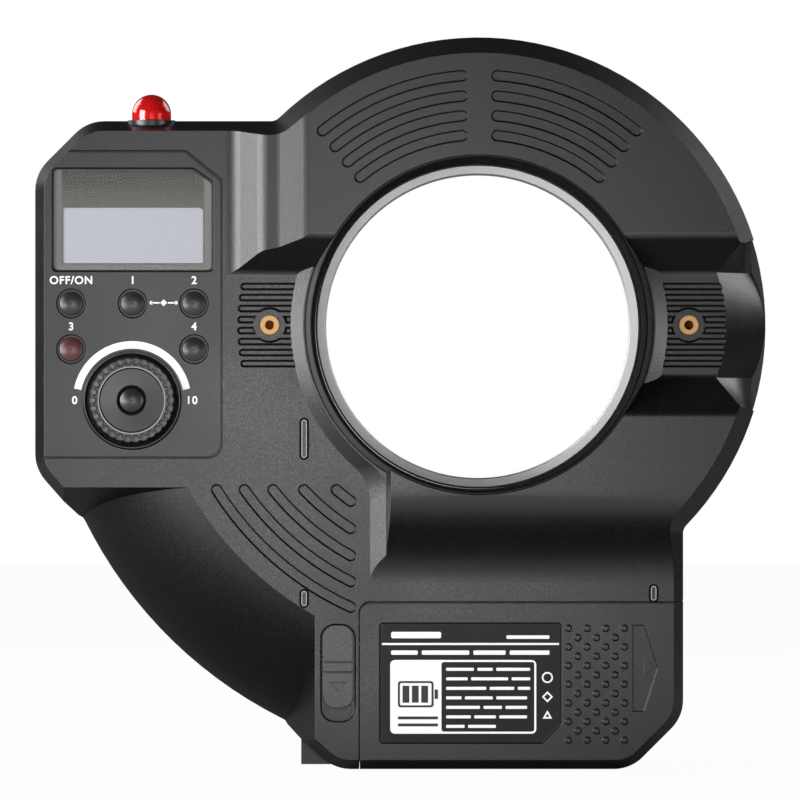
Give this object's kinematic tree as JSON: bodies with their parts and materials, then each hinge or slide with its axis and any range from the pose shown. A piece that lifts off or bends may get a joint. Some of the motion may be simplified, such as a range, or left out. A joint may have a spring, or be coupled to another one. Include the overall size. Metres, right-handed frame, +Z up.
{
  "type": "battery-powered ring flash",
  "caption": "Handheld ring flash: annular light around a threaded bore, moulded grip, control block with display, keys and dial, and a slide-off battery pack.",
  "frame": {"origin": "on the bore axis, in the plane of the threaded ring's front rim", "axes": "+Y along the bore axis, the way the light leaves; +Z up with the pack at the bottom; +X to the right of the operator behind it"},
  "size_m": [0.252, 0.068, 0.252],
  "materials": {
    "housing": "fine spark-eroded grain",
    "barrel": "smooth satin",
    "bright_aluminium": "turned, bright",
    "bezel": "satin",
    "bright_trim": "silver plated",
    "diffuser": "lightly frosted",
    "mirror_foil": "polished",
    "tube_glass": "clear",
    "spring_steel": "drawn wire",
    "circuit_board": "solder mask",
    "led_lens": "cast",
    "panel": "fine grain",
    "window": "tinted, hard coated",
    "display": "liquid crystal",
    "key_plastic": "moulded",
    "core": "ferrite and tape",
    "capacitor_sleeve": "shrunk sleeve",
    "red_dome": "clear red, polished",
    "steel_shell": "plated",
    "brass": "turned and knurled",
    "contact_brass": "gold flash",
    "screw_steel": "zinc plated",
    "button": "satin",
    "red_button": "translucent red",
    "dial": "satin",
    "latch": "satin",
    "battery_shell": "fine spark-eroded grain",
    "label": "printed film",
    "cell_wrap": "shrunk film"
  },
  "bodies": {
    "body": {"rear_housing": "housing", "front_housing": "housing", "bore_barrel": "barrel", "thread_ring": "bright_aluminium", "front_bezel": "bezel", "inner_bezel": "bezel", "front_trim": "bright_trim", "front_glass": "diffuser", "reflector": "mirror_foil", "flash_tube": "tube_glass", "tube_clips": "spring_steel", "led_board": "circuit_board", "modelling_leds": "led_lens", "control_panel": "panel", "lcd_window": "window", "lcd_module": "display", "panel_board": "circuit_board", "key_switches": "key_plastic", "dial_bezel": "panel", "encoder": "key_plastic", "power_board": "circuit_board", "charge_transformer": "core", "trigger_coil": "core", "buzzer": "core", "capacitors": "capacitor_sleeve", "sensor_dome": "red_dome", "light_sensor": "circuit_board", "sync_jack": "key_plastic", "control_port": "steel_shell", "brass_inserts": "brass", "body_contacts": "contact_brass", "latch_spring": "spring_steel", "housing_screws": "screw_steel"},
    "power_button": {"power_button": "button"},
    "mode_button": {"mode_button": "button"},
    "light_button": {"light_button": "button"},
    "test_button": {"test_button": "red_button"},
    "sound_button": {"sound_button": "button"},
    "dial": {"dial": "dial"},
    "set_button": {"set_button": "dial"},
    "latch": {"battery_latch": "latch"},
    "battery": {"battery_case": "battery_shell", "battery_label": "label", "battery_cells": "cell_wrap", "battery_contacts": "contact_brass"}
  },
  "joints": [
    {"name": "power_press", "type": "slide", "parent": "body", "child": "power_button", "axis": [0, 1, 0], "range_m": [0, 0.0008], "stiffness_N_per_m": 600, "springref_m": -0.0008},
    {"name": "mode_press", "type": "slide", "parent": "body", "child": "mode_button", "axis": [0, 1, 0], "range_m": [0, 0.0008], "stiffness_N_per_m": 600, "springref_m": -0.0008},
    {"name": "light_press", "type": "slide", "parent": "body", "child": "light_button", "axis": [0, 1, 0], "range_m": [0, 0.0008], "stiffness_N_per_m": 600, "springref_m": -0.0008},
    {"name": "test_press", "type": "slide", "parent": "body", "child": "test_button", "axis": [0, 1, 0], "range_m": [0, 0.0008], "stiffness_N_per_m": 600, "springref_m": -0.0008},
    {"name": "sound_press", "type": "slide", "parent": "body", "child": "sound_button", "axis": [0, 1, 0], "range_m": [0, 0.0008], "stiffness_N_per_m": 600, "springref_m": -0.0008},
    {"name": "set_press", "type": "slide", "parent": "body", "child": "set_button", "axis": [0, 1, 0], "range_m": [0, 0.0006], "stiffness_N_per_m": 600, "springref_m": -0.0008},
    {"name": "dial_spin", "type": "hinge", "parent": "body", "child": "dial", "pos_m": [-0.1186, -0.057, -0.0257], "axis": [0, 1, 0], "continuous": true},
    {"name": "latch_slide", "type": "slide", "parent": "body", "child": "latch", "axis": [0, 0, -1], "range_m": [0, 0.0042], "stiffness_N_per_m": 400, "springref_m": -0.003, "deforming": ["latch_spring"]},
    {"name": "battery_slide", "type": "slide", "parent": "body", "child": "battery", "axis": [1, 0, 0], "range_m": [0, 0.115]}
  ]
}
